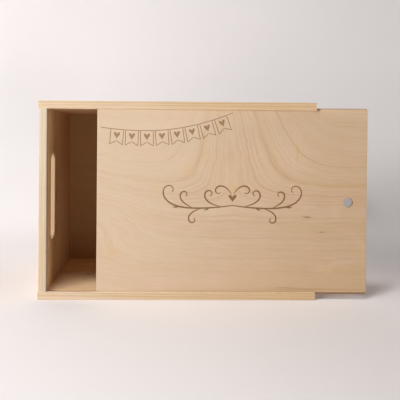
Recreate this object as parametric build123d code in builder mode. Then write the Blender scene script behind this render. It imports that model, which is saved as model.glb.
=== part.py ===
from build123d import *
import os

# Wooden memory box with a sliding lid, standing on one of its long walls.
# X runs along the box, the way the lid slides out. Y runs into the box, from the lid to the base.
# Z points up. The origin is the middle of the lower long wall's underside. Sizes are in millimetres.

# Box
box_length = 350.0  # X, over the long walls
box_width = 250.0  # Z, over both long walls
box_height = 150.0  # Y, from the lid side to the underside of the base
long_wall_thickness = 10.0
end_wall_thickness = 10.0
end_wall_setback = 1.0  # the end walls sit in from the long walls' ends
edge_easing = 0.8  # sanded outer edges
lip_easing = 0.5  # sanded inner edge of the lip over the lid

# Lid and its groove
lid_thickness = 4.0
lid_lip = 3.0  # wood left in front of the groove
lid_face_clearance = 0.25  # on each face of the lid
lid_edge_clearance = 0.4  # between each long edge of the lid and the groove's floor
lid_end_clearance = 0.3  # between the shut lid and the end groove's floor
long_groove_depth = 3.5
end_groove_depth = 4.5
lid_open_by = 66.5  # how far the lid is drawn out as modelled
lid_corner_radius = 2.5
lid_edge_easing = 0.4
open_end_gap = 0.5  # between the groove and the edge of the low end wall
finger_hole_diameter = 12.0
finger_hole_from_end = 23.5
finger_hole_below_middle = 1.5

# Handle slots
handle_slot_length = 115.0
handle_slot_width = 24.0
handle_slot_from_lid_side = 36.0  # to the slot's centre line
handle_slot_easing = 1.5

# Base panel
base_thickness = 4.0
base_ledge = 5.0  # how far the base laps onto each long wall
base_clearance = 0.2  # between the base's long edges and the rebates

# Brads: flat wire with a T head and a pointed tip, driven tight
brad_wire_width = 1.25
brad_wire_thickness = 1.05
brad_head_width = 2.0
brad_head_height = 0.6
brad_tip_length = 1.5
corner_brad_length = 25.0
corner_brad_count = 3  # in each corner
corner_brad_margin = 20.0  # from the ends of the joint
base_brad_length = 16.0
base_brads_per_long_wall = 4
base_brads_per_end_wall = 3
base_brad_margin = 40.0  # from the corners of the box

# Planes that several pieces share
lid_side_y = -box_height / 2
base_side_y = box_height / 2
base_seat_y = base_side_y - base_thickness
groove_front_y = lid_side_y + lid_lip
groove_width = lid_thickness + 2 * lid_face_clearance
groove_back_y = groove_front_y + groove_width
lid_face_y = groove_front_y + lid_face_clearance
low_edge_y = groove_back_y + open_end_gap
end_outer_x = box_length / 2 - end_wall_setback
end_inner_x = end_outer_x - end_wall_thickness
end_middle_x = end_outer_x - end_wall_thickness / 2
middle_z = box_width / 2
end_wall_span = box_width - 2 * long_wall_thickness
slot_y = lid_side_y + handle_slot_from_lid_side

# Lid outline, from where it lies when shut
lid_shut_end_x = -end_inner_x - end_groove_depth + lid_end_clearance
lid_length = box_length / 2 - lid_shut_end_x
lid_width = end_wall_span + 2 * (long_groove_depth - lid_edge_clearance)
lid_middle_x = lid_shut_end_x + lid_length / 2 + lid_open_by
finger_hole_x = lid_middle_x + lid_length / 2 - finger_hole_from_end
finger_hole_z = middle_z - finger_hole_below_middle

# Base outline
base_length = 2 * end_outer_x
base_width = box_width - 2 * (long_wall_thickness - base_ledge + base_clearance)
base_brad_z = long_wall_thickness - base_ledge / 2


def spread(count, first, last):
    """Places from first to last, evenly apart."""
    return [first + (last - first) * i / (count - 1) for i in range(count)]


def driven(points, wide_along, out_along):
    """Where brads enter the wood: head up along one direction, wide side along another."""
    return [Plane(origin=point, x_dir=wide_along, z_dir=out_along).location for point in points]


# Brad places: corner brads enter the long walls' outer faces, base brads the base's outer face
right, back, up = (1, 0, 0), (0, 1, 0), (0, 0, 1)
down = (0, 0, -1)
closed_brad_ys = spread(corner_brad_count, lid_side_y + corner_brad_margin, base_seat_y - corner_brad_margin)
open_brad_ys = spread(corner_brad_count, low_edge_y + corner_brad_margin, base_seat_y - corner_brad_margin)
long_brad_reach = box_length / 2 - base_brad_margin
long_brad_xs = spread(base_brads_per_long_wall, -long_brad_reach, long_brad_reach)
end_brad_zs = spread(base_brads_per_end_wall, base_brad_margin, box_width - base_brad_margin)
brad_places = {
    "lower_closed_corner_brads": driven([(-end_middle_x, y, 0) for y in closed_brad_ys], right, down),
    "lower_open_corner_brads": driven([(end_middle_x, y, 0) for y in open_brad_ys], right, down),
    "upper_closed_corner_brads": driven([(-end_middle_x, y, box_width) for y in closed_brad_ys], right, up),
    "upper_open_corner_brads": driven([(end_middle_x, y, box_width) for y in open_brad_ys], right, up),
    "lower_base_brads": driven([(x, base_side_y, base_brad_z) for x in long_brad_xs], right, back),
    "upper_base_brads": driven(
        [(x, base_side_y, box_width - base_brad_z) for x in long_brad_xs], right, back
    ),
    "closed_end_base_brads": driven([(-end_middle_x, base_side_y, z) for z in end_brad_zs], up, back),
    "open_end_base_brads": driven([(end_middle_x, base_side_y, z) for z in end_brad_zs], up, back),
}


def brad(length):
    """A brad with the top of its head at the origin: a T outline with a point, as thick as the wire."""
    with BuildPart(mode=Mode.PRIVATE) as wire:
        with BuildSketch(Plane.XZ):
            with BuildLine():
                outline = Polyline(
                    (0, 0),
                    (brad_head_width / 2, 0),
                    (brad_head_width / 2, -brad_head_height),
                    (brad_wire_width / 2, -brad_head_height),
                    (brad_wire_width / 2, brad_tip_length - length),
                    (0, -length),
                )
                mirror(outline, about=Plane.YZ)
            make_face()
        extrude(amount=brad_wire_thickness / 2, both=True)
    return wire.part


corner_brad = brad(corner_brad_length)
base_brad = brad(base_brad_length)


def brads_of(group):
    """The kind of brad that a group holds."""
    return base_brad if "base" in group else corner_brad


def cut_for_brads(*groups):
    """Cut the brads' own shape out of the piece being built."""
    for group in groups:
        with Locations(*brad_places[group]):
            add(brads_of(group), mode=Mode.SUBTRACT)


# Lower long wall: one moulded section with the lid's groove and the rebate for the base
with BuildPart() as lower_long_wall:
    with BuildSketch(Plane.YZ):
        with BuildLine():
            Polyline(
                (lid_side_y, 0),
                (lid_side_y, long_wall_thickness),
                (groove_front_y, long_wall_thickness),
                (groove_front_y, long_wall_thickness - long_groove_depth),
                (groove_back_y, long_wall_thickness - long_groove_depth),
                (groove_back_y, long_wall_thickness),
                (base_seat_y, long_wall_thickness),
                (base_seat_y, long_wall_thickness - base_ledge),
                (base_side_y, long_wall_thickness - base_ledge),
                (base_side_y, 0),
                close=True,
            )
        make_face()
        fillet(vertices().group_by(Axis.Y)[0], edge_easing)
        fillet(vertices().group_by(Axis.X)[0].sort_by(Axis.Y)[-1], lip_easing)
    extrude(amount=box_length / 2, both=True)
    cut_for_brads("lower_closed_corner_brads", "lower_open_corner_brads", "lower_base_brads")

# Upper long wall: the same board turned over
with BuildPart() as upper_long_wall:
    mirror(lower_long_wall.part, about=Plane.XY.offset(middle_z))


def end_wall_board(outer_x, edge_y):
    """An end wall between the long walls, from the given edge to the base, with its handle slot."""
    with BuildSketch(Plane.YZ.offset(outer_x)) as board:
        with Locations(((edge_y + base_seat_y) / 2, middle_z)):
            Rectangle(base_seat_y - edge_y, end_wall_span)
    extrude(board.sketch, amount=-end_wall_thickness if outer_x > 0 else end_wall_thickness)
    fillet(edges().filter_by(Axis.Z).group_by(Axis.Y)[0], edge_easing)
    with BuildSketch(Plane.YZ.offset(outer_x)) as handle_slot:
        with Locations((slot_y, middle_z)):
            SlotOverall(handle_slot_length, handle_slot_width, rotation=90)
    extrude(handle_slot.sketch, amount=end_wall_thickness, both=True, mode=Mode.SUBTRACT)
    fillet(edges(Select.LAST).filter_by(Axis.X, reverse=True), handle_slot_easing)


# Closed end wall: full height, grooved across for the end of the lid
with BuildPart() as closed_end_wall:
    end_wall_board(-end_outer_x, lid_side_y)
    with BuildSketch(Plane.YZ.offset(-end_inner_x)):
        with Locations(((groove_front_y + groove_back_y) / 2, middle_z)):
            Rectangle(groove_width, end_wall_span)
    extrude(amount=-end_groove_depth, mode=Mode.SUBTRACT)
    cut_for_brads("lower_closed_corner_brads", "upper_closed_corner_brads", "closed_end_base_brads")

# Open end wall: lower, so that the lid passes over it
with BuildPart() as open_end_wall:
    end_wall_board(end_outer_x, low_edge_y)
    cut_for_brads("lower_open_corner_brads", "upper_open_corner_brads", "open_end_base_brads")

# Base panel: plywood in the long walls' rebates and over the end walls' edges
with BuildPart() as base_panel:
    with BuildSketch(Plane.XZ.offset(-base_seat_y)):
        with Locations((0, middle_z)):
            Rectangle(base_length, base_width)
    extrude(amount=-base_thickness)
    cut_for_brads("lower_base_brads", "upper_base_brads", "closed_end_base_brads", "open_end_base_brads")

# Sliding lid: plywood with eased corners and a finger hole
with BuildPart() as sliding_lid:
    with BuildSketch(Plane.XZ.offset(-lid_face_y)):
        with Locations((lid_middle_x, middle_z)):
            RectangleRounded(lid_length, lid_width, lid_corner_radius)
        with Locations((finger_hole_x, finger_hole_z)):
            Circle(finger_hole_diameter / 2, mode=Mode.SUBTRACT)
    extrude(amount=-lid_thickness)
    chamfer(edges().filter_by(Axis.Y, reverse=True), lid_edge_easing)

# Labels and files of the boards
os.makedirs("parts", exist_ok=True)
boards = {
    "lower_long_wall": lower_long_wall,
    "upper_long_wall": upper_long_wall,
    "closed_end_wall": closed_end_wall,
    "open_end_wall": open_end_wall,
    "base_panel": base_panel,
    "sliding_lid": sliding_lid,
}
for name, board in boards.items():
    board.part.label = name
    export_step(board.part, f"parts/{name}.step")

# Brads, one group for each corner and for each edge of the base
for name, places in brad_places.items():
    with BuildPart() as brads:
        with Locations(*places):
            add(brads_of(name))
    brads.part.label = name
    export_step(brads.part, f"parts/{name}.step")
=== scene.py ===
import bmesh
import bpy
import numpy as np
from mathutils import Matrix, Vector
from mathutils.geometry import delaunay_2d_cdt


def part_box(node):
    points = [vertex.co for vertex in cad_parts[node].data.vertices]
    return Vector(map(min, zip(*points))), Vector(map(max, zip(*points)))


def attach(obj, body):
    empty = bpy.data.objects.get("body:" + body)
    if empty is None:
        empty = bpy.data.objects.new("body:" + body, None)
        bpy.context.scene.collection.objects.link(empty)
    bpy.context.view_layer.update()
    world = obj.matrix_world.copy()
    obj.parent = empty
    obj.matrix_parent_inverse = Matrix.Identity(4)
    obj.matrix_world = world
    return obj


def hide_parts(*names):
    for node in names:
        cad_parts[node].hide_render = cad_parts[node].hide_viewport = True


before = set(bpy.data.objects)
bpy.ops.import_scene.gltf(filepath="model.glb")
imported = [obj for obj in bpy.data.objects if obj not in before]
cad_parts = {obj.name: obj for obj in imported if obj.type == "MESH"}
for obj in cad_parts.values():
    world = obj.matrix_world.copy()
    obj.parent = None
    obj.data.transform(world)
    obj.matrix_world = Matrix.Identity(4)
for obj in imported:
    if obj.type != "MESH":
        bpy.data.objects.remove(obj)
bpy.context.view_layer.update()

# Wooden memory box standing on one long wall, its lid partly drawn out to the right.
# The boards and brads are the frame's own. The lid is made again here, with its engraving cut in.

millimetre = 0.001
print("frame loaded:", len(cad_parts), "nodes")


# A node's lowest and highest corners at rest, in millimetres
def boxOf(node):
    return [np.array(corner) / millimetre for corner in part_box(node)]


# A colour given in screen values 0 to 255, as the linear values that nodes use
def screenColour(red, green, blue):
    share = np.array([red, green, blue]) / 255
    linear = np.where(share <= 0.04045, share / 12.92, ((share + 0.055) / 1.055) ** 2.4)
    return (*linear.tolist(), 1.0)


# Nodes are placed by small helpers: each takes sockets or plain values for its inputs, in order

def feed(tree, socket, source):
    if isinstance(source, bpy.types.NodeSocket):
        tree.links.new(source, socket)
    else:
        socket.default_value = source


def put(tree, kind, *sources, output=0, **settings):
    node = tree.nodes.new(kind)
    for name, setting in settings.items():
        setattr(node, name, setting)
    for socket, source in zip(node.inputs, sources):
        feed(tree, socket, source)
    return node.outputs[output]


def calc(tree, operation, *sources):
    return put(tree, "ShaderNodeMath", *sources, operation=operation)


def vectorCalc(tree, operation, *sources):
    return put(tree, "ShaderNodeVectorMath", *sources, operation=operation)


def product(tree, first, *others):
    for other in others:
        first = calc(tree, "MULTIPLY", first, other)
    return first


def total(tree, first, *others):
    for other in others:
        first = calc(tree, "ADD", first, other)
    return first


def split(tree, vector):
    return list(put(tree, "ShaderNodeSeparateXYZ", vector).node.outputs)


def join(tree, x, y, z):
    return put(tree, "ShaderNodeCombineXYZ", x, y, z)


# Smooth step from 0 to 1 as the source goes from low to high, then to the given values
def slope(tree, source, low, high, start=0.0, end=1.0):
    return put(tree, "ShaderNodeMapRange", source, low, high, start, end, interpolation_type="SMOOTHSTEP")


# Noise about 0.5 on a vector, at one scale or at one for each axis
def noise(tree, vector, scale, detail=2.0, rough=0.5):
    if isinstance(scale, tuple):
        vector, scale = vectorCalc(tree, "MULTIPLY", vector, scale), 1.0
    node = tree.nodes.new("ShaderNodeTexNoise")
    for name, source in {"Vector": vector, "Scale": scale, "Detail": detail, "Roughness": rough}.items():
        feed(tree, node.inputs[name], source)
    return node.outputs["Fac"]


# Noise about 0, spread over the given height
def sway(tree, vector, scale, height, detail=2.0):
    return product(tree, calc(tree, "SUBTRACT", noise(tree, vector, scale, detail), 0.5), height)


# Noise about 0.5, along one value
def noiseAlong(tree, along, scale, detail=1.0):
    node = tree.nodes.new("ShaderNodeTexNoise")
    node.noise_dimensions = "1D"
    for name, source in {"W": along, "Scale": scale, "Detail": detail}.items():
        feed(tree, node.inputs[name], source)
    return node.outputs["Fac"]


# Two colours mixed by a factor
def mixed(tree, factor, first, second, blend="MIX"):
    node = tree.nodes.new("ShaderNodeMix")
    node.data_type, node.blend_type = "RGBA", blend
    for socket, source in zip((node.inputs[0], node.inputs[6], node.inputs[7]), (factor, first, second)):
        feed(tree, socket, source)
    return node.outputs[2]


# A colour multiplied by a tone of red, green and blue, or by one value
def toned(tree, colour, *tone):
    parts = tone * 3 if len(tone) == 1 else tone
    return mixed(tree, 1.0, colour, join(tree, *parts), "MULTIPLY")


# Sum of two squares
def squares(tree, a, b):
    return total(tree, product(tree, a, a), product(tree, b, b))


# A soft mound of height 1: e to the minus sum of two squares, those of the offset along over the width
# and of the offset up over the height
def mound(tree, u, v, centreU, centreV, wide, high):
    along = calc(tree, "DIVIDE", calc(tree, "SUBTRACT", u, centreU), wide)
    up = calc(tree, "DIVIDE", calc(tree, "SUBTRACT", v, centreV), high)
    return calc(tree, "EXPONENT", product(tree, squares(tree, along, up), -1.0))


# Soft mounds added to a start, each given by its two places, its width and height, and its share
def mounds(tree, u, v, places, start=0.0):
    heap = start
    for centreU, centreV, wide, high, share in places:
        heap = total(tree, product(tree, mound(tree, u, v, centreU, centreV, wide, high), share), heap)
    return heap


# An empty shader group with its named sockets; returns the group and its input and output nodes
def shaderGroup(name, inputs, outputs):
    group = bpy.data.node_groups.new(name, "ShaderNodeTree")
    kinds = {"vector": "NodeSocketVector", "value": "NodeSocketFloat"}
    for socket, kind in inputs.items():
        group.interface.new_socket(socket, in_out="INPUT", socket_type=kinds[kind])
    for socket in outputs:
        group.interface.new_socket(socket, in_out="OUTPUT", socket_type=kinds["value"])
    return group, group.nodes.new("NodeGroupInput").outputs, group.nodes.new("NodeGroupOutput").inputs


# A group placed in a material, with its inputs by name; returns its outputs
def useGroup(tree, group, **sources):
    node = tree.nodes.new("ShaderNodeGroup")
    node.node_tree = group
    for name, source in sources.items():
        feed(tree, node.inputs[name], source)
    return node.outputs


# A bump worked out from a height, fed to the shader's normal
def raiseBump(tree, shader, height, strength, distance):
    bump = put(tree, "ShaderNodeBump", strength, distance)
    feed(tree, bump.node.inputs["Height"], height)
    feed(tree, shader.inputs["Normal"], bump)


# A new material with its shader; constant values are set on the shader's own sockets
def plainMaterial(name, **values):
    material = bpy.data.materials.new(name)
    material.use_nodes = True
    tree = material.node_tree
    shader = tree.nodes["Principled BSDF"]
    for socket, setting in values.items():
        shader.inputs[socket].default_value = setting
    return material, tree, shader


# Object coordinates in millimetres, turned and moved onto the piece; returns them and the surface's normal
def placeOn(tree, turn=(0, 0, 0), move=(0, 0, 0)):
    coordinates = tree.nodes.new("ShaderNodeTexCoord")
    mapping = tree.nodes.new("ShaderNodeMapping")
    feed(tree, mapping.inputs["Vector"], coordinates.outputs["Object"])
    mapping.inputs["Scale"].default_value = (1 / millimetre,) * 3
    mapping.inputs["Rotation"].default_value = [np.radians(a) for a in turn]
    mapping.inputs["Location"].default_value = move
    return mapping.outputs["Vector"], coordinates.outputs["Normal"]


# Pine: growth rings round a heart line that runs along X, some way outside the board.
# Ring radius = distance from the heart line, bent by slow noise; late wood = the last part of each ring.
def makePineGroup():
    group, given, made = shaderGroup(
        "pineRings",
        {"Place": "vector", "HeartY": "value", "HeartZ": "value", "Gap": "value", "Warp": "value"},
        ["LateWood", "Tone", "Fibre"],
    )
    place = given["Place"]
    y, z = split(group, place)[1:]
    acrossY = calc(group, "SUBTRACT", y, given["HeartY"])
    acrossZ = calc(group, "SUBTRACT", z, given["HeartZ"])
    reach = calc(group, "SQRT", squares(group, acrossY, acrossZ))
    bend = sway(group, place, (0.0025, 0.018, 0.018), 10.0)
    ripple = sway(group, place, (0.012, 0.12, 0.12), 0.9)
    radius = total(group, reach, bend, ripple, given["Warp"])
    ring = calc(group, "DIVIDE", radius, given["Gap"])
    ring = total(group, ring, product(group, noiseAlong(group, ring, 0.37), 2.2))
    part = calc(group, "FRACT", ring)
    number = calc(group, "FLOOR", ring)
    rise = slope(group, part, 0.30, 0.86)
    fall = slope(group, part, 0.90, 1.0, 1.0, 0.0)
    strength = slope(group, noiseAlong(group, number, 3.7), 0.3, 0.7, 0.45, 1.0)
    feed(group, made["LateWood"], product(group, rise, fall, strength))
    feed(group, made["Tone"], noise(group, place, (0.00575, 0.0414, 0.0414), 3.0, 0.6))
    feed(group, made["Fibre"], noise(group, place, (0.035, 1.1, 1.1), 3.0, 0.6))
    return group


# Birch veneer peeled from a log: a field is worked out at each place, and the growth lines are its
# contours. They run along the lid, and rise on both sides of a leaning axis like the ribs of a fan:
# field = smooth least of (V less a tilt that fades from the left end) and (a flank that grows with the
# distance from the axis, which is the offset as seen from the fan's focus, rounded near the axis).
# The skew draws the left flank nearer to the axis, and the parting holds both flanks off it.
# Streaks are noise that is long on the lid and short across the field, so that they follow the lines.
def makeBirchGroup(figure):
    group, given, made = shaderGroup(
        "birchFigure",
        {"Place": "vector", "Middle": "value"},
        ["Line", "Streak", "Band", "Blotch", "Fibre", "Spot", "Fleck"],
    )
    place = given["Place"]
    along, inward, up = split(group, place)
    back = calc(group, "GREATER_THAN", inward, given["Middle"])
    u, v = [total(group, part, product(group, back, shift))
            for part, shift in zip((along, up), figure["backShift"])]
    axis = total(group, product(group, v, figure["lean"]), figure["axis"])
    toFocus = calc(group, "SUBTRACT", figure["focus"], v)
    offset = calc(group, "DIVIDE", calc(group, "SUBTRACT", u, axis), toFocus)
    aside = calc(group, "SQRT", total(group, product(group, offset, offset), figure["rounding"] ** 2))
    skew = figure["skew"]
    aside = product(group, total(group, aside, product(group, offset, -skew)), 1 / (1 - skew))
    aside = total(group, aside, calc(group, "DIVIDE", figure["parting"], toFocus))
    steep = total(group, product(group, aside, aside, figure["steepening"]), 1.0)
    flank = total(group, product(group, aside, steep, figure["rise"]), figure["base"])
    fade = calc(group, "EXPONENT", product(group, u, -1 / figure["tiltFade"]))
    level = calc(group, "SUBTRACT", v, product(group, fade, figure["tilt"]))
    field = calc(group, "SMOOTH_MIN", level, flank, figure["smoothing"])
    bend = sway(group, place, (0.012, 0.01, 0.02), figure["bend"])
    ripple = sway(group, place, (0.05, 0.02, 0.075), figure["ripple"], 2.5)
    field = mounds(group, u, v, figure["eyes"], total(group, field, bend, ripple))
    quiet = mounds(group, u, v, figure["quiet"])
    plain = slope(group, quiet, 0.0, 1.0, 1.0, 0.0)
    clear = slope(group, quiet, 0.0, 1.4, 1.0, 0.15)
    drift = product(group, noiseAlong(group, field, 0.05), 3.0)
    ring = total(group, product(group, field, 1 / figure["gap"]), drift)
    part = calc(group, "FRACT", ring)
    number = calc(group, "FLOOR", ring)
    strength = slope(group, noiseAlong(group, number, 2.9), 0.38, 0.7, 0.1, 0.75)
    rise, fall = slope(group, part, 0.45, 0.86), slope(group, part, 0.88, 1.0, 1.0, 0.0)
    line = product(group, rise, fall, strength, plain)
    for height, weight in figure["lines"]:
        off = calc(group, "DIVIDE", calc(group, "SUBTRACT", field, height), figure["lineWidth"])
        bell = calc(group, "EXPONENT", product(group, off, off, -1.0))
        line = calc(group, "MAXIMUM", line, product(group, bell, clear, weight))
    patches = (0.022, 0.02, 0.03)
    broken = slope(group, noise(group, place, patches, 1.0), 0.3, 0.62, 0.4, 1.0)
    line = product(group, line, slope(group, u, *figure["leftFade"]), broken)
    feed(group, made["Line"], mounds(group, u, v, figure["smears"], line))
    follow = join(group, product(group, u, 0.03), product(group, v, 0.03), product(group, field, 0.42))
    streak = slope(group, noise(group, follow, 1.0, 2.0, 0.6), 0.46, 0.68)
    feed(group, made["Streak"], product(group, streak, plain))
    feed(group, made["Band"], noiseAlong(group, field, 0.055, 3.0))
    feed(group, made["Blotch"], noise(group, place, patches))
    feed(group, made["Fibre"], noise(group, place, (0.07, 0.5, 0.75), 3.0, 0.62))
    feed(group, made["Spot"], mounds(group, u, v, figure["spots"]))
    feed(group, made["Fleck"], mounds(group, u, v, figure["flecks"]))
    return group


# Plywood seen from its edge: three plies, the middle one with its grain across, and dark glue lines.
# Depths are shares of the thickness, measured from the middle.
def makePlyGroup(core=0.165, blur=0.015):
    group, given, made = shaderGroup(
        "plyLayers", {"Place": "vector", "Thickness": "value"}, ["Cross", "Glue"]
    )
    share = calc(group, "DIVIDE", split(group, given["Place"])[1], given["Thickness"])
    share = total(group, share, sway(group, given["Place"], (0.05, 0.0, 0.05), 0.05))
    fromMiddle = calc(group, "ABSOLUTE", calc(group, "SUBTRACT", share, 0.5))
    feed(group, made["Cross"], slope(group, fromMiddle, core - blur, core + blur, 1.0, 0.0))
    glue = calc(group, "ABSOLUTE", calc(group, "SUBTRACT", fromMiddle, core))
    feed(group, made["Glue"], slope(group, glue, 0.0, 2 * blur, 1.0, 0.0))
    return group


# How near a place is to an edge of a board's box: the second smallest of its three distances to the
# box's faces, against a reach that noise makes uneven
def makeEdgeGroup():
    group, given, made = shaderGroup(
        "easedEdges", {"Place": "vector", "Low": "vector", "High": "vector", "Reach": "value"}, ["Edge"]
    )
    below = split(group, vectorCalc(group, "SUBTRACT", given["Place"], given["Low"]))
    above = split(group, vectorCalc(group, "SUBTRACT", given["High"], given["Place"]))
    first, second, third = [calc(group, "MINIMUM", a, b) for a, b in zip(below, above)]
    smaller = calc(group, "MINIMUM", first, second)
    larger = calc(group, "MAXIMUM", first, second)
    distance = calc(group, "MAXIMUM", smaller, calc(group, "MINIMUM", larger, third))
    uneven = slope(group, noise(group, given["Place"], 0.11, 3.0), 0.3, 0.7, 0.4, 1.2)
    scaled = calc(group, "DIVIDE", distance, uneven)
    feed(group, made["Edge"], slope(group, scaled, 0.0, given["Reach"], 1.0, 0.0))
    return group


pineRings = makePineGroup()
plyLayers = makePlyGroup()
easedEdges = makeEdgeGroup()

# Figure of the lid's veneer, in millimetres from the lid's lower left corner. Eyes, quiet areas, spots,
# smears and flecks are soft mounds: place along, place up, width, height and share.
lidFigure = {
    "axis": 176.7,  # where the axis of the fan meets the lid's lower edge
    "parting": 6,  # distance that both flanks stand off from the axis
    "lean": -0.05,
    "focus": 366,  # height of the fan's focus
    "skew": 0.15,  # how much closer the lines run on the left of the axis
    "rounding": 0.016,
    "rise": 97,
    "steepening": 0.35,
    "base": 109,
    "tilt": 16,
    "tiltFade": 45,
    "smoothing": 50,
    "gap": 6,
    "lineWidth": 1.0,
    "leftFade": (60, 150, 0.45, 1.0),  # the lines are fainter on the left: from, to, and both strengths
    "bend": 6,
    "ripple": 3.2,
    "backShift": (47, -38),  # the back shows another part of the figure
    "eyes": ((293, 38, 9, 5.4, 7), (183, 178, 9, 5.4, -2), (144, 172, 8, 4.8, 3),
             (2, 92, 56, 33.6, -36)),
    "lines": ((91, 0.6), (113.5, 0.7), (118, 0.7), (121.2, 0.6), (124.5, 1.1), (127.8, 0.55),
              (131, 0.7), (138, 1.4), (161.5, 1.5), (199, 0.5)),  # height of the field, strength
    "quiet": ((66, 192, 60, 46, 1.0), (188, 150, 16, 24, 0.25),
              (292, 204, 58, 36, 0.95), (150, 6, 190, 24, 0.85),
              (80, 58, 70, 26, 0.4), (112, 226, 46, 24, 1.3)),
    "spots": ((172, 135, 7, 10, 0.8), (137, 178, 5, 9, 0.9), (114, 157, 6, 5, 1.0), (76, 135, 5, 4, 0.7),
              (62, 97, 8, 3, 0.6), (18, 55, 9, 7, 0.75), (198, 172, 5, 7, 0.6), (254, 181, 3, 10, 1.6),
              (293, 31, 9, 4, 0.9)),
    "smears": ((262, 6.4, 34, 1.2, 1.5), (310, 5.6, 40, 1.0, 1.2)),
    "flecks": ((267.5, 97.8, 4.4, 0.8, 1.0), (262, 98.8, 7, 0.6, 0.3), (286, 78.8, 3.8, 0.7, 0.65),
               (238, 8.2, 15, 0.7, 0.38), (318, 218.5, 26, 0.6, 0.14),
               (323, 213.5, 22, 0.6, 0.11), (254, 181, 1.6, 12, 0.16),
               # the last is a small dark spot on the lid's top edge, beside the end of the top rail
               (280.6, 234.9, 1.6, 2.2, 1.0)),
}
birchFigure = makeBirchGroup(lidFigure)
print("node groups made")


# Where brads enter: at the ends of both long walls (X, Y), and round the base (X, Z)
wallBrads = [(-169, y) for y in (-55, -2, 51)] + [(169, y) for y in (-47, 2, 51)]
baseBrads = [(x, z) for x in (-135, -45, 45, 135) for z in (7.5, 242.5)]
baseBrads += [(x, z) for x in (-169, 169) for z in (40, 125, 210)]


# Painted shade of a shallow dent where each brad was driven: a soft dark ring round it
def paintedDentShade(tree, first, second, places, reach=1.7):
    return mounds(tree, first, second, [(a, b, reach, reach, 1.0) for a, b in places])


# Where the boards change their look: each is a soft step from one place to the next, in millimetres
boardPlaces = {
    "middleZ": 125,
    "insideX": (164.4, 165.2),  # distances from the middle of the box
    "insideZ": (115.3, 115.9),
    "lidSide": (-71.5, -69.5),  # along Y, as the next three are
    "slotNear": (-55, -52),
    "slotFar": (-26, -23),
    # back half of an inner face, lifted with painted light by a board's "paler"
    "backHalf": (-10, 25),
}

# Pine boards: how each one lies in its log, and its knots and streaks. Its edge on the lid's side goes
# from one tone to the other over its reach. "inside" and "outside" stand in for those of pineLook; the
# inner tones are painted light, paler and warmer for the light inside the box, and the closed end's outer
# tone is painted shade. "paler" lifts the back half of the inner face with painted light where the lamps
# leave it in shade. Places are in the board's own turned coordinates, with the grain along X.
pineBoards = {
    "lower_long_wall": {
        "turn": (0, 0, 0), "heart": (31, -58), "gap": 3.1, "reach": (-175, 175),
        # the floor board's inner face is toned far paler, painted light where the lamps leave the inside in
        # shade
        "tones": ((0.97, 1.05, 1.185), (0.91, 0.93, 0.89)), "inside": (1.27, 1.26, 1.21), "paler": 1.2,
        "knots": ((88, 18, 4.2), (-121, -9, 2.6)), "streaks": (),
    },
    "upper_long_wall": {
        "turn": (0, 0, 0), "heart": (44, 318), "gap": 3.4, "reach": (-175, 175),
        "tones": ((1.005, 1.1, 1.215), (1.01, 1.01, 0.97)),
        "knots": ((-64, 34, 3.6),), "streaks": ((112, 6, 22, 1.1),),
    },
    "closed_end_wall": {
        "turn": (0, 90, 0), "heart": (-22, 231), "gap": 3.6, "reach": (70, 240),
        # its outer face is toned darker: painted shade against the strong light of the near lamps on the
        # left
        "tones": ((0.915, 1.01, 1.15), (0.955, 1.13, 1.37)), "outside": (0.84, 0.82, 0.79),
        "knots": (), "streaks": ((122, -23.5, 11, 2),),
    },
    "open_end_wall": {
        "turn": (0, 90, 0), "heart": (12, -240), "gap": 3.3, "reach": (10, 240),
        "tones": ((0.95, 0.98, 1.0), (0.97, 1.0, 1.04)), "inside": (1.02, 1.0, 0.98),
        "knots": ((58, 31, 3.4),), "streaks": (),
    },
}
pineLook = {
    "early": screenColour(221, 190, 155),
    "late": screenColour(199, 158, 112),
    "deep": screenColour(211, 176, 133),
    "end": screenColour(188, 146, 102),
    "edge": screenColour(240, 218, 188),
    "knot": screenColour(107, 63, 34),
    "inside": (1.13, 1.02, 0.88),  # tones of the boards' inner and outer faces; the inner one is painted light, warmer as light bounced inside the box
    "outside": (1.04, 1.0, 0.93),
    "sawn": (0.79, 0.84, 0.95),  # tone of the saw-cut faces of a handle slot
    "edgeReach": 1.1,  # width of the pale edges: wood worn pale, and painted highlight where the eased edges catch the light
    "deepMix": 0.55,
    "lateMix": 0.62,
    "endMix": 0.6,
    "edgeMix": 0.6,
    "roughness": (0.7, 0.54),
    "bump": (0.12, 0.0002),  # strength, and height in metres
}
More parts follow.
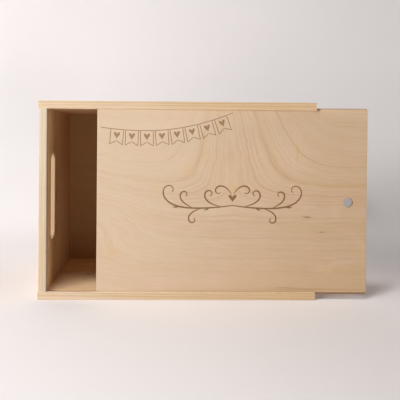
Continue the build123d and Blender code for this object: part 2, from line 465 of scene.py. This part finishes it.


# Pine: rings, knots and streaks, each face in its own tone (the inner faces painted light), with end grain,
# pale edges that are worn wood and painted highlight, and painted shade of a dent round each brad
def pineMaterial(name, board, look, places):
    material, tree, shader = plainMaterial("pine_" + name, **{"Roughness": 0.62, "Specular IOR Level": 0.3})
    place, facing = placeOn(tree, board["turn"])
    upright = placeOn(tree)[0]
    along, across = split(tree, place)[:2]
    rightward, backward, upward = split(tree, upright)
    isEndWall = board["turn"][1] != 0
    heartY, heartZ = board["heart"]
    knots, gap = board["knots"], board["gap"]
    warp = mounds(tree, along, across, [(x, y, 3.4 * size, 2.2 * size, 1.7 * gap) for x, y, size in knots])
    knot = mounds(tree, along, across, [(x, y, size, 0.8 * size, 1.0) for x, y, size in knots])
    knot = mounds(tree, along, across, [(*streak, 0.8) for streak in board["streaks"]], knot)
    rings = useGroup(tree, pineRings, Place=place, HeartY=heartY, HeartZ=heartZ, Gap=gap, Warp=warp)
    low, high = boxOf(name)
    edges = useGroup(tree, easedEdges, Place=upright, Low=low, High=high, Reach=look["edgeReach"])

    shade = slope(tree, rings["Tone"], 0.3, 0.7)
    colour = mixed(tree, product(tree, shade, look["deepMix"]), look["early"], look["deep"])
    colour = mixed(tree, product(tree, rings["LateWood"], look["lateMix"]), colour, look["late"])
    colour = toned(tree, colour, slope(tree, rings["Fibre"], 0.3, 0.7, 0.955, 1.03))

    offMiddle = calc(tree, "ABSOLUTE", calc(tree, "SUBTRACT", upward, places["middleZ"]))
    within = product(tree, slope(tree, calc(tree, "ABSOLUTE", rightward), *places["insideX"], 1.0, 0.0),
                     slope(tree, offMiddle, *places["insideZ"], 1.0, 0.0))
    cutInSlot = 0.0
    if isEndWall:
        cut = slope(tree, calc(tree, "ABSOLUTE", split(tree, facing)[0]), 0.4, 0.9, 1.0, 0.0)
        cutInSlot = product(tree, cut, slope(tree, across, *places["slotNear"]),
                            slope(tree, across, *places["slotFar"], 1.0, 0.0))
    # Inner faces take the inner tone, painted light inside the box, lifted further on the back half by
    # "paler"
    inside, outside = [join(tree, *board.get(side, look[side])) for side in ("inside", "outside")]
    inside = toned(tree, inside, slope(tree, across, *places["backHalf"], 1.0, board.get("paler", 1.0)))
    faceTone = mixed(tree, calc(tree, "MAXIMUM", within, cutInSlot), outside, inside)
    first, last = [join(tree, *tone) for tone in board["tones"]]
    edgeTone = mixed(tree, slope(tree, along, *board["reach"]), first, last)
    tone = mixed(tree, slope(tree, across, *places["lidSide"]), edgeTone, faceTone)
    colour = mixed(tree, 1.0, colour, tone, "MULTIPLY")

    endFacing = calc(tree, "ABSOLUTE", split(tree, facing)[2 if isEndWall else 0])
    endGrain = product(tree, slope(tree, endFacing, 0.6, 0.9), look["endMix"])
    colour = mixed(tree, endGrain, colour, look["end"])
    # pale edges: wood worn pale, and painted highlight where the eased edges catch the light
    colour = mixed(tree, product(tree, edges["Edge"], look["edgeMix"]), colour, look["edge"])
    if isEndWall:
        colour = mixed(tree, cutInSlot, colour, join(tree, *look["sawn"]), "MULTIPLY")
    else:
        outer = slope(tree, within, 0.0, 1.0, 0.6, 0.0)
        # painted shade of a dent round each brad, on the outer faces
        dentShade = product(tree, paintedDentShade(tree, rightward, backward, wallBrads), outer)
        colour = mixed(tree, dentShade, colour, look["knot"])
    if knots or board["streaks"]:
        colour = mixed(tree, slope(tree, knot, 0.1, 0.75, 0.0, 0.9), colour, look["knot"])

    feed(tree, shader.inputs["Base Color"], colour)
    feed(tree, shader.inputs["Roughness"], slope(tree, rings["Fibre"], 0.2, 0.8, *look["roughness"]))
    height = total(tree, product(tree, rings["Fibre"], 0.7), product(tree, rings["LateWood"], 0.5))
    raiseBump(tree, shader, height, *look["bump"])
    return material


birchLook = {
    "pale": screenColour(212, 188, 160),
    "deep": screenColour(200, 168, 131),
    "pink": screenColour(216, 184, 161),
    "line": screenColour(179, 137, 97),
    "pales": ((100, 239, 230, 15, 0.19), (211, 157, 105, 40, 0.06),  # paler places, given as in lidFigure; those near the top edge are painted light that lifts the shade cast by the top rail's lip
              (80, 214, 70, 12, 0.05), (190, 226, 60, 9, 0.05),
              (120, 232.6, 190, 1.3, 0.12)),
    "lineMix": 0.36,
    "streakMix": 0.13,
    "spotMix": 0.35,
    "fleckMix": 0.8,
    "crossMix": 0.8,
    "glueMix": 0.7,
    "cutMix": 0.7,
    "spot": screenColour(212, 176, 122),
    "fleck": screenColour(115, 80, 49),
    "cross": screenColour(168, 130, 93),
    "glue": screenColour(115, 80, 51),
    "burnt": (0.27, 0.173, 0.094),  # share of red, green and blue left by a full burn
    # colour of the lid's foot strip, painted shade and groove wear, and of its worn top strip
    "grooveRubAndShade": screenColour(122, 88, 59),
    "scorched": screenColour(111, 80, 51),
    "roughness": (0.68, 0.54),
    "bump": (0.1, 0.0002),
}
# The base panel's own colours are deep and orange for its inner face: painted shade and warm bounced light
# inside the box. Its outer face is toned back towards pale birch.
baseLook = {
    **birchLook,
    "pale": screenColour(206, 163, 112),
    "deep": screenColour(199, 153, 102),
    "pink": screenColour(201, 155, 106),
    "pales": (),
    "lineMix": 0.12,
    "streakMix": 0.08,
    "outside": (1.03, 1.3, 1.9),  # tone of the outer face, taking it back from the painted inner shade towards pale birch
}


# Birch plywood; where a piece carries engraving, its attribute says how far each place is burnt
def birchMaterial(name, node, look, engraved=False):
    material, tree, shader = plainMaterial(name, **{"Roughness": 0.6, "Specular IOR Level": 0.3})
    low, high = boxOf(node)
    length, thickness, height = high - low
    place, facing = placeOn(tree, move=-low)
    along, _, up = split(tree, place)
    facingY = split(tree, facing)[1]
    sideways = slope(tree, calc(tree, "ABSOLUTE", facingY), 0.5, 0.8, 1.0, 0.0)
    figure = useGroup(tree, birchFigure, Place=place, Middle=thickness / 2)
    plies = useGroup(tree, plyLayers, Place=place, Thickness=thickness)

    rightwards = slope(tree, along, 0.0, length, 0.0, 0.75)  # deeper to the right and towards the foot
    downwards = slope(tree, up, 0.0, height, 0.12, -0.12)
    band = slope(tree, figure["Band"], 0.3, 0.7, -0.12, 0.16)
    deepening = total(tree, rightwards, downwards, band)
    colour = mixed(tree, deepening, look["pale"], look["deep"])
    colour = mixed(tree, slope(tree, figure["Blotch"], 0.45, 0.75, 0.0, 0.45), colour, look["pink"])
    colour = mixed(tree, product(tree, figure["Line"], look["lineMix"]), colour, look["line"])
    colour = mixed(tree, product(tree, figure["Streak"], look["streakMix"]), colour, look["line"])
    colour = mixed(tree, product(tree, figure["Spot"], look["spotMix"]), colour, look["spot"])
    colour = mixed(tree, product(tree, figure["Fleck"], look["fleckMix"]), colour, look["fleck"])
    colour = toned(tree, colour, slope(tree, figure["Fibre"], 0.3, 0.7, 0.975, 1.02))
    # painted light: paler places, chiefly a band just under the top rail's lip where its shade falls
    colour = toned(tree, colour, mounds(tree, along, up, look["pales"], 1.0))
    colour = mixed(tree, product(tree, plies["Cross"], sideways, look["crossMix"]), colour, look["cross"])
    colour = mixed(tree, product(tree, plies["Glue"], sideways, look["glueMix"]), colour, look["glue"])

    # The outer face is toned paler than the inner one, whose colours are painted shade
    if "outside" in look:
        outer = slope(tree, facingY, 0.3, 0.7)
        colour = mixed(tree, outer, colour, join(tree, *look["outside"]), "MULTIPLY")
        rightward, _, upward = split(tree, placeOn(tree)[0])
        # painted shade of a dent round each brad on the outer face
        dentShade = product(tree, paintedDentShade(tree, rightward, upward, baseBrads), outer, 0.6)
        colour = mixed(tree, dentShade, colour, look["fleck"])
    if engraved:
        cut = product(tree, sideways, look["cutMix"])  # edges and hole are scorched where they were cut
        colour = mixed(tree, cut, colour, look["scorched"])
        under = slope(tree, up, 1.9, 2.9, 0.85, 0.0)  # darker along the foot: painted shade of the rounded lower edge that faces down, and wear from the groove
        # and a thin dark strip just under the top edge, worn by the groove
        over = slope(tree, calc(tree, "SUBTRACT", height, up), 0.7, 1.3, 0.45, 0.0)
        colour = mixed(tree, calc(tree, "MAXIMUM", under, over), colour, look["grooveRubAndShade"])
        burn = put(tree, "ShaderNodeAttribute", attribute_name="burn", output=2)
        colour = toned(tree, colour, *[calc(tree, "POWER", share, burn) for share in look["burnt"]])

    feed(tree, shader.inputs["Base Color"], colour)
    feed(tree, shader.inputs["Roughness"], slope(tree, figure["Fibre"], 0.2, 0.8, *look["roughness"]))
    relief = total(tree, product(tree, figure["Fibre"], 0.7), product(tree, figure["Line"], 0.3))
    raiseBump(tree, shader, relief, *look["bump"])
    return material


# Brads of bright drawn wire: fine draw marks along the wire and a little dulling
wireLook = {
    "bright": screenColour(196, 196, 199),
    "dull": screenColour(158, 156, 154),
    "roughness": (0.28, 0.46),
    "bump": (0.08, 0.0001),
}


def steelMaterial(look):
    material, tree, shader = plainMaterial("bright_wire", Metallic=1.0)
    place = placeOn(tree)[0]
    marks = noise(tree, place, 2.4, 3.0, 0.6)
    dulling = slope(tree, noise(tree, place, 0.12, 2.0), 0.35, 0.7)
    feed(tree, shader.inputs["Base Color"], mixed(tree, dulling, look["bright"], look["dull"]))
    feed(tree, shader.inputs["Roughness"], slope(tree, marks, 0.3, 0.7, *look["roughness"]))
    raiseBump(tree, shader, marks, *look["bump"])
    return material


def dress(node, material):
    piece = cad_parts[node]
    piece.data.materials.clear()
    piece.data.materials.append(material)


for name, board in pineBoards.items():
    dress(name, pineMaterial(name, board, pineLook, boardPlaces))
dress("base_panel", birchMaterial("birch_base", "base_panel", baseLook))
brightWire = steelMaterial(wireLook)
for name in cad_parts:
    if name.endswith("brads"):
        dress(name, brightWire)
print("boards and brads dressed")


# The lid, in millimetres from its lower left corner: U along the box, V up, W into the box
lidLow, lidHigh = boxOf("sliding_lid")
lidLength, lidThickness, lidWidth = lidHigh - lidLow
lid = {
    "length": lidLength,
    "width": lidWidth,
    "thickness": lidThickness,
    "cornerRadius": 2.5,
    "cornerSteps": 8,
    "easing": 0.5,  # rounded edges all round
    "easingSteps": 4,
    "holeFromRight": 23.5,
    "holeAboveMiddle": -1.5,
    "holeRadius": 6.0,
    "holeSteps": 72,
    "weld": 0.002,  # points nearer than this become one
}

# Engraving: rows of points along a stroke, and its depth and burn across, in half widths from its middle
engraving = {
    "depth": 0.28,
    "rows": (-1.35, -1.0, -0.5, 0.0, 0.5, 1.0, 1.35),
    "depthAt": ((0.0, 0.5, 1.0, 1.35), (1.0, 0.85, 0.12, 0.0)),
    "burnAt": ((0.0, 0.7, 1.0, 1.35), (1.0, 1.0, 0.7, 0.0)),
    "heartDepth": 0.16,
    "heartDepthAt": ((0.92, 1.0), (1.0, 0.0)),  # depth and burn by the share of the way to the outline
    "heartBurnAt": ((0.98, 1.06), (1.0, 0.0)),
    "heartRows": (0.3, 0.62, 0.92, 1.0, 1.07),  # outlines of a heart, each a share of its size
    "heartSteps": 44,
}

# Bunting: a string that sags as a parabola, with swallow-tailed pennants hung square to it
bunting = {
    "lowest": (60.0, 206.2),
    "sag": (0.0013, 0.0019),  # left and right of the lowest point
    "from": 5.0,
    "to": 171.5,
    "count": 8,
    "firstMiddle": 25.5,
    "pitch": 18.56,
    "wide": 16.2,
    "tall": 19.2,
    "notch": 4.8,
    "heartDrop": 8.1,
    "heart": (7.5, 8.8),
    "line": 0.7,
    "burn": 0.7,
    "heartBurn": 0.52,
}

# Scroll ornament, one half: the other is its mirror image. Headings are in degrees, bends in radians a
# millimetre. "on" is the share of the stem's length at which a stroke branches off.
ornament = {
    "centre": (171.7, 121.0),
    "heart": (10.0, 9.4),
    "heartBurn": 0.72,
    "burn": 0.79,
    "strokes": {
        "stem": {"start": (0.0, -8.6), "heading": -9, "length": 121, "bends": (0.0032, 0.27), "power": 5.0,
                 "widths": (0.9, 1.6, 1.8, 1.6, 0.9)},
        "inner": {"on": 0.12, "heading": 22, "length": 46, "bends": (0.002, 0.36), "power": 1.9,
                  "widths": (0.6, 1.5, 1.8, 0.9)},
        "under": {"on": 0.33, "heading": -20, "length": 38, "bends": (0.0, -0.40), "power": 1.8,
                  "widths": (0.6, 1.5, 1.7, 0.9)},
        "outer": {"on": 0.42, "heading": 26, "length": 40, "bends": (0.0, 0.38), "power": 1.9,
                  "widths": (0.6, 1.5, 1.7, 0.9)},
        "plume": {"start": (1.6, 5.6), "heading": 62, "length": 36, "bends": (-0.035, -0.36), "power": 2.0,
                  "widths": (0.6, 1.5, 1.6, 0.8)},
        "outerLeaf": {"on": 0.56, "heading": -28, "length": 9, "bends": (0.06, 0.02),
                      "power": 1.0, "widths": (0.4, 1.9, 0.4)},
        "innerLeaf": {"on": 0.24, "heading": -30, "length": 8, "bends": (0.06, 0.02),
                      "power": 1.0, "widths": (0.4, 1.7, 0.4)},
    },
}


# A stroke's middle line from its bend, which grows from the first to the last value by a power of the
# distance run: heading = first heading + summed bend, place = start + summed direction
def scrollLine(start, heading, length, bends, power, step=0.5):
    run = np.linspace(0, length, int(length / step) + 1)
    bend = bends[0] + (bends[1] - bends[0]) * (run / length) ** power
    gaps = np.diff(run)
    headings = np.radians(heading) + np.concatenate([[0], np.cumsum((bend[1:] + bend[:-1]) / 2 * gaps)])
    between = (headings[1:] + headings[:-1]) / 2
    steps = np.stack([np.cos(between) * gaps, np.sin(between) * gaps], 1)
    return np.array(start) + np.concatenate([np.zeros((1, 2)), np.cumsum(steps, 0)])


# A straight stroke's middle line
def straightLine(start, end, step=1.0):
    count = max(2, int(np.linalg.norm(np.subtract(end, start)) / step) + 1)
    share = np.linspace(0, 1, count)[:, None]
    return np.array(start) * (1 - share) + np.array(end) * share


# Unit normals of a line of points, each a quarter turn left of the way it runs
def leftNormals(line):
    along = np.gradient(line, axis=0)
    along /= np.linalg.norm(along, axis=1)[:, None]
    return np.stack([-along[:, 1], along[:, 0]], 1)


# Heart outline of unit width and height about its middle, before it is scaled: x = 16 times sine cubed,
# y = 11 cos - 8 cos of twice - 2 cos of three times - cos of four times the angle
def heartOutline(count):
    t = np.linspace(0, 2 * np.pi, count, endpoint=False)
    x = 16 * np.sin(t) ** 3
    y = 11 * np.cos(t) - 8 * np.cos(2 * t) - 2 * np.cos(3 * t) - np.cos(4 * t)
    return np.stack([x / np.ptp(x), (y - (y.max() + y.min()) / 2) / np.ptp(y)], 1)


# All the strokes and hearts of the bunting. A pennant stands on the string at its middle and is turned as
# the string slopes there.
def buntingMarks(plan):
    lowU, lowV = plan["lowest"]

    def stringAt(u):  # height and slope of the string
        sag = np.where(u < lowU, *plan["sag"])
        return lowV + sag * (u - lowU) ** 2, 2 * sag * (u - lowU)

    string = np.arange(plan["from"], plan["to"], 1.0)
    strokes = [(np.stack([string, stringAt(string)[0]], 1), plan["line"])]
    hearts = []
    for i in range(plan["count"]):
        u = plan["firstMiddle"] + plan["pitch"] * i
        topV, rise = stringAt(u)
        tilt = np.arctan(rise)
        turn = np.array([[np.cos(tilt), np.sin(tilt)], [-np.sin(tilt), np.cos(tilt)]])
        top = np.array([u, topV])
        half, tall, notch = plan["wide"] / 2, plan["tall"], plan["notch"]
        corners = np.array([[-half, 0], [-half, -tall], [0, notch - tall], [half, -tall], [half, 0]])
        corners = corners @ turn + top
        strokes += [(straightLine(a, b), plan["line"]) for a, b in zip(corners, corners[1:])]
        middle = np.array([0, -plan["heartDrop"]]) @ turn + top
        hearts.append({"centre": middle, "size": plan["heart"], "turn": turn, "burn": plan["heartBurn"]})
    return [(line, np.full(len(line), width), plan["burn"]) for line, width in strokes], hearts


# All the strokes of the ornament, right half and left half, and its heart
def ornamentMarks(plan):
    lines, marks = {}, []
    for name, stroke in plan["strokes"].items():
        start, heading = stroke.get("start"), stroke["heading"]
        if "on" in stroke:
            stem = lines["stem"]
            place = int(stroke["on"] * (len(stem) - 1))
            start = stem[place]
            stemWay = stem[place + 1] - stem[place]
            heading += np.degrees(np.arctan2(stemWay[1], stemWay[0]))
        lines[name] = scrollLine(start, heading, stroke["length"], stroke["bends"], stroke["power"])
        share = np.linspace(0, 1, len(lines[name]))
        widths = np.interp(share, np.linspace(0, 1, len(stroke["widths"])), stroke["widths"])
        for side in (1, -1):
            marks.append((lines[name] * (side, 1) + plan["centre"], widths, plan["burn"]))
    heart = {"centre": np.array(plan["centre"]), "size": plan["heart"], "turn": np.eye(2)}
    return marks, [{**heart, "burn": plan["heartBurn"]}]


# Rows of points along a stroke, at shares of its half width, with a round of points at each end
def strokePoints(line, widths, rows):
    normals = leftNormals(line)
    across = np.array(rows)[:, None, None] * (widths / 2)[None, :, None] * normals[None]
    points = [(line[None] + across).reshape(-1, 2)]
    for end, way in ((0, 1), (-1, -1)):
        backwards = np.arctan2(normals[end, 1], normals[end, 0]) + way * np.radians([45, 90, 135])
        reach = np.array([r for r in rows if r > 0]) * widths[end] / 2
        spokes = reach[:, None, None] * np.stack([np.cos(backwards), np.sin(backwards)], 1)[None]
        points.append((line[end] + spokes).reshape(-1, 2))
    return np.concatenate(points)


# Nested outlines of a heart, turned and placed
def heartPoints(heart, rows, count):
    outline = heartOutline(count) * heart["size"]
    return np.concatenate([outline * row for row in rows]) @ heart["turn"] + heart["centre"]


# Depth and burn of the engraving at each point: the deepest of what every stroke and heart gives there.
# A stroke gives a channel by distance over half width, a heart a floor by its share of the heart's outline.
def engraveAt(points, strokes, hearts, cut):
    depth, burn = np.zeros(len(points)), np.zeros(len(points))
    for line, widths, darkness in strokes:
        margin = widths.max()
        near = np.where(np.all((points > line.min(0) - margin) & (points < line.max(0) + margin), 1))[0]
        if not len(near):
            continue
        apart = np.linalg.norm(points[near][:, None] - line[None], axis=2) / (widths / 2)[None]
        share = apart.min(1)
        depth[near] = np.maximum(depth[near], cut["depth"] * np.interp(share, *cut["depthAt"]))
        burn[near] = np.maximum(burn[near], darkness * np.interp(share, *cut["burnAt"]))
    outline = heartOutline(720)
    angles = np.arctan2(outline[:, 1], outline[:, 0])
    order = np.argsort(angles)
    for heart in hearts:
        flat = (points - heart["centre"]) @ heart["turn"].T / heart["size"]
        reach = np.interp(np.arctan2(flat[:, 1], flat[:, 0]), angles[order],
                          np.linalg.norm(outline, axis=1)[order], period=2 * np.pi)
        share = np.linalg.norm(flat, axis=1) / reach
        depth = np.maximum(depth, cut["heartDepth"] * np.interp(share, *cut["heartDepthAt"]))
        burn = np.maximum(burn, heart["burn"] * np.interp(share, *cut["heartBurnAt"]))
    return depth, burn


# Rounded rectangle walked once round, drawn in by an inset: each corner's arc keeps its middle
def lidOutline(plan, inset):
    quarter = np.linspace(0, np.pi / 2, plan["cornerSteps"])
    radius = plan["cornerRadius"]
    angles = (np.arange(4)[:, None] * np.pi / 2 + quarter[None]).ravel()
    signs = np.repeat(np.array([[1, 1], [-1, 1], [-1, -1], [1, -1]]), plan["cornerSteps"], axis=0)
    half = np.array([plan["length"], plan["width"]]) / 2
    middles = half + signs * (half - radius)
    return middles + (radius - inset) * np.stack([np.cos(angles), np.sin(angles)], 1)


# The finger hole walked once round, wider by an inset
def holeOutline(plan, inset):
    angles = np.linspace(0, 2 * np.pi, plan["holeSteps"], endpoint=False)
    middle = np.array([plan["length"] - plan["holeFromRight"], plan["width"] / 2 + plan["holeAboveMiddle"]])
    return middle + (plan["holeRadius"] + inset) * np.stack([np.cos(angles), np.sin(angles)], 1)


# A wall between the lid's two faces: an outline carried round a section whose two corners are quarter
# rounds, inset = easing (1 - sine) and depth = easing (1 - cosine), the second corner a mirror of the first
def easedWall(plan, outline):
    turn = np.linspace(0, np.pi / 2, plan["easingSteps"])
    insets, depths = plan["easing"] * (1 - np.sin(turn)), plan["easing"] * (1 - np.cos(turn))
    insets = np.concatenate([insets, insets[::-1]])
    depths = np.concatenate([depths, plan["thickness"] - depths[::-1]])
    loops = np.stack([outline(plan, inset) for inset in insets])
    walls = np.concatenate([loops, np.broadcast_to(depths[:, None, None], (*loops.shape[:2], 1))], 2)
    rows, count = loops.shape[:2]
    here = np.arange((rows - 1) * count).reshape(rows - 1, count)
    beside = np.roll(here, -1, axis=1)
    faces = np.stack([here, beside, beside + count, here + count], 2).reshape(-1, 4)
    return walls.reshape(-1, 3), faces, loops[0]


# A flat face of the lid, triangles between the outline, the hole and the points of the engraving
def flatFace(plan, rim, hole, inner):
    points = np.concatenate([rim, hole, inner])
    rings = [(0, len(rim)), (len(rim), len(hole))]
    edges = [(first + i, first + (i + 1) % count) for first, count in rings for i in range(count)]
    found = delaunay_2d_cdt([Vector(p) for p in points], edges, [], 1, 1e-4)  # 1: nothing outside the rim
    corners = np.array([v[:] for v in found[0]])
    faces = np.array(found[2])
    middles = corners[faces].mean(1)
    holeMiddle = hole.mean(0)
    reach = np.linalg.norm(hole - holeMiddle, axis=1).min()
    return corners, faces[np.linalg.norm(middles - holeMiddle, axis=1) >= reach]


# The lid: its outer wall, the hole's wall, the engraved face and the plain back, welded together
def makeLid(plan, cut):
    strokes, hearts = [a + b for a, b in zip(buntingMarks(bunting), ornamentMarks(ornament))]
    marks = [strokePoints(line, widths, cut["rows"]) for line, widths, _ in strokes]
    marks += [heartPoints(heart, cut["heartRows"], cut["heartSteps"]) for heart in hearts]
    outer, outerFaces, rim = easedWall(plan, lidOutline)
    bore, boreFaces, hole = easedWall(plan, holeOutline)
    front, frontFaces = flatFace(plan, rim, hole, np.concatenate(marks))
    rear, rearFaces = flatFace(plan, rim, hole, np.zeros((0, 2)))
    depth, burn = engraveAt(front, strokes, hearts, cut)
    front = np.column_stack([front, depth])
    rear = np.column_stack([rear, np.full(len(rear), plan["thickness"])])
    pieces = [outer, bore, front, rear]
    starts = np.cumsum([0] + [len(p) for p in pieces])
    corners = np.concatenate(pieces)
    burnt = np.zeros(len(corners))
    burnt[starts[2]:starts[3]] = burn
    faces = [(part + start).tolist() for part, start in
             zip((outerFaces, boreFaces, frontFaces, rearFaces[:, ::-1]), starts)]
    placed = (corners[:, (0, 2, 1)] + lidLow) * millimetre
    mesh = bpy.data.meshes.new("sliding_lid_board")
    mesh.from_pydata(placed.tolist(), [], sum(faces, []))
    mesh.attributes.new("burn", "FLOAT", "POINT").data.foreach_set("value", burnt)
    shell = bmesh.new()
    shell.from_mesh(mesh)
    bmesh.ops.remove_doubles(shell, verts=shell.verts, dist=plan["weld"] * millimetre)
    bmesh.ops.recalc_face_normals(shell, faces=shell.faces)
    shell.to_mesh(mesh)
    shell.free()
    normals = np.zeros(len(mesh.polygons) * 3)
    mesh.polygons.foreach_get("normal", normals)
    mesh.polygons.foreach_set("use_smooth", np.abs(normals[1::3]) < 0.9999)  # the flat faces stay flat
    return bpy.data.objects.new("engraved_lid", mesh)


engravedLid = makeLid(lid, engraving)
bpy.context.collection.objects.link(engravedLid)
engravedLid.data.materials.append(birchMaterial("birch_lid", "sliding_lid", birchLook, engraved=True))
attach(engravedLid, "lid")
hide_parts("sliding_lid")
print("lid engraved:", len(engravedLid.data.polygons), "faces")


# Floor and backdrop in one sweep: a profile of floor, quarter bend and wall carried along X, seen through
# from behind so that the box can be looked at from every side
sweep = {
    "front": -3.0,
    "bendFrom": 0.20,
    "bendRadius": 0.45,
    "top": 2.6,
    "halfWidth": 4.0,
    "bendSteps": 48,
    "colour": screenColour(248, 243, 242),
    "tone": 0.93,
    "mottle": 0.005,
    "fade": (980.0, 1550.0),  # distances at which the camera sees the sweep fade into the pale world,
    "fadeMiddle": 300.0,  # measured from this far behind the box's middle
    "patches": (  # painted light and shade round the box: paler pools and darker shadows, each by place along X, place up the sweep (Y plus Z), both reaches, share
        (-330, 320, 160, 170, 0.09), (-225, 10, 90, 90, -0.1),
        (620, 730, 250, 230, 0.07), (370, 120, 140, 150, -0.15),
        (200, 1290, 420, 170, 0.07), (-430, 960, 180, 260, -0.09),
        (-100, -320, 350, 160, 0.03), (439, 458, 50, 90, -0.2),
        (230, -300, 220, 220, -0.09), (300, -18, 50, 38, 0.1),
        (205, -50, 50, 40, 0.14),
    ),
}


def makeSweep(plan):
    turn = np.linspace(0, np.pi / 2, plan["bendSteps"])
    bendY = plan["bendFrom"] + plan["bendRadius"] * np.sin(turn)
    bendZ = plan["bendRadius"] * (1 - np.cos(turn))
    profileY = np.concatenate([[plan["front"]], bendY, [bendY[-1]]])
    profileZ = np.concatenate([[0.0], bendZ, [plan["top"]]])
    across = np.linspace(-plan["halfWidth"], plan["halfWidth"], 9)
    x, y = np.meshgrid(across, profileY)
    z = np.broadcast_to(profileZ[:, None], x.shape)
    rows, columns = x.shape
    here = (np.arange(rows - 1)[:, None] * columns + np.arange(columns - 1)[None]).ravel()
    faces = np.stack([here, here + 1, here + columns + 1, here + columns], 1)
    mesh = bpy.data.meshes.new("pale_sweep")
    mesh.from_pydata(np.stack([x, y, z], 2).reshape(-1, 3).tolist(), [], faces.tolist())
    mesh.polygons.foreach_set("use_smooth", np.ones(len(mesh.polygons), bool))
    return bpy.data.objects.new("pale_sweep", mesh)


def sweepMaterial(plan):
    material, tree, shader = plainMaterial("pale_paper", **{"Roughness": 0.9, "Specular IOR Level": 0.1})
    place = placeOn(tree)[0]
    along, inward, up = split(tree, place)
    climb = calc(tree, "ADD", inward, up)
    low, high = plan["tone"] - plan["mottle"], plan["tone"] + plan["mottle"]
    tone = slope(tree, noise(tree, place, 0.004, 3.0), 0.3, 0.7, low, high)
    # painted light and shade: the patches lighten and darken the paper round the box
    tone = mounds(tree, along, climb, plan["patches"], tone)
    feed(tree, shader.inputs["Base Color"], toned(tree, plan["colour"], tone))
    fromMiddle = calc(tree, "SUBTRACT", inward, plan["fadeMiddle"])
    away = calc(tree, "SQRT", squares(tree, along, fromMiddle))
    seen = tree.nodes.new("ShaderNodeLightPath").outputs["Is Camera Ray"]
    faded = product(tree, slope(tree, away, *plan["fade"]), seen)
    behind = tree.nodes.new("ShaderNodeNewGeometry").outputs["Backfacing"]
    clear = tree.nodes.new("ShaderNodeBsdfTransparent").outputs["BSDF"]
    hidden = calc(tree, "MAXIMUM", behind, faded)
    either = put(tree, "ShaderNodeMixShader", hidden, shader.outputs["BSDF"], clear)
    feed(tree, tree.nodes["Material Output"].inputs["Surface"], either)
    return material


paleSweep = makeSweep(sweep)
bpy.context.collection.objects.link(paleSweep)
paleSweep.data.materials.append(sweepMaterial(sweep))

# Soft lamps: three on the left, low, high and far off, a weak one on the right, a small one overhead that
# lights the floor inside the box, and one that lights the backdrop. Most aim at the middle of the box.
lamps = {
    "lowFront": {"place": (-1.3, -0.9, 0.35), "size": (0.8, 0.6), "power": 13.9},
    "softLeft": {"place": (-1.3, -0.8, 1.0), "size": (0.9, 0.9), "power": 4.4},
    "farLeft": {"place": (-3.0, -2.2, 1.1), "size": (1.5, 1.6), "power": 49.5},
    "right": {"place": (1.7, -0.55, 0.4), "size": (0.8, 0.8), "power": 7.4},
    "overhead": {"place": (-0.3, -0.48, 1.9), "size": (0.3, 0.3), "power": 2.6, "spread": 80,
                 "aim": (-0.1, -0.4, 0.0)},
    "backdrop": {"place": (-2.4, -0.2, 1.3), "size": (0.8, 0.8), "power": 3.2, "spread": 100,
                 "aim": (0.3, 0.65, 0.7)},
}
lampAim = (0.0, 0.0, 0.12)
worldLight = {"strength": 0.004, "colour": (1.0, 0.985, 0.98, 1.0), "seen": screenColour(240, 234, 233)}

for name, lamp in lamps.items():
    light = bpy.data.lights.new(name, "AREA")
    light.shape = "RECTANGLE"
    light.spread = np.radians(lamp.get("spread", 180))
    light.size, light.size_y = lamp["size"]
    light.energy = lamp["power"]
    holder = bpy.data.objects.new(name, light)
    holder.location = lamp["place"]
    aim = Vector(lamp.get("aim", lampAim)) - Vector(lamp["place"])
    holder.rotation_euler = aim.to_track_quat("-Z", "Y").to_euler()
    bpy.context.collection.objects.link(holder)

world = bpy.data.worlds.new("pale_room")
bpy.context.scene.world = world
world.use_nodes = True
worldTree = world.node_tree
background = worldTree.nodes["Background"]
background.inputs["Color"].default_value = worldLight["colour"]
background.inputs["Strength"].default_value = worldLight["strength"]
seen = worldTree.nodes.new("ShaderNodeBackground")
seen.inputs["Color"].default_value = worldLight["seen"]
rays = worldTree.nodes.new("ShaderNodeLightPath")
shown = calc(worldTree, "MAXIMUM", rays.outputs["Is Camera Ray"], rays.outputs["Is Glossy Ray"])
eitherWorld = put(worldTree, "ShaderNodeMixShader", shown, background.outputs[0], seen.outputs[0])
feed(worldTree, worldTree.nodes["World Output"].inputs["Surface"], eitherWorld)
print("stage and lamps set")

# Camera: almost square to the lid, its eye a little under the box's top. The horizon stands high in the
# picture, so the lens is shifted instead of tilted.
cameraPlan = {
    "place": (-0.03051, -0.60705, 0.20520),
    "yaw": 0.886,
    "pitch": -0.368,
    "roll": 0.465,
    "lens": 38.16,
    "sensor": 36.0,
    "shift": (0.0995, -0.1506),
}


def makeCamera(plan):
    yaw, pitch, roll = [np.radians(plan[part]) for part in ("yaw", "pitch", "roll")]
    level = Vector((np.cos(yaw), -np.sin(yaw), 0))
    upright = Vector((-np.sin(pitch) * np.sin(yaw), -np.sin(pitch) * np.cos(yaw), np.cos(pitch)))
    ahead = Vector((np.cos(pitch) * np.sin(yaw), np.cos(pitch) * np.cos(yaw), np.sin(pitch)))
    right = level * np.cos(roll) + upright * np.sin(roll)
    up = upright * np.cos(roll) - level * np.sin(roll)
    data = bpy.data.cameras.new("front_view")
    data.lens, data.sensor_width = plan["lens"], plan["sensor"]
    data.shift_x, data.shift_y = plan["shift"]
    data.clip_start, data.clip_end = 0.05, 50
    camera = bpy.data.objects.new("front_view", data)
    turn = Matrix((right, up, -ahead)).transposed().to_4x4()
    camera.matrix_world = Matrix.Translation(plan["place"]) @ turn
    return camera


camera = makeCamera(cameraPlan)
bpy.context.collection.objects.link(camera)
bpy.context.scene.camera = camera
bpy.context.scene.view_settings.view_transform = "Standard"
print("camera set")
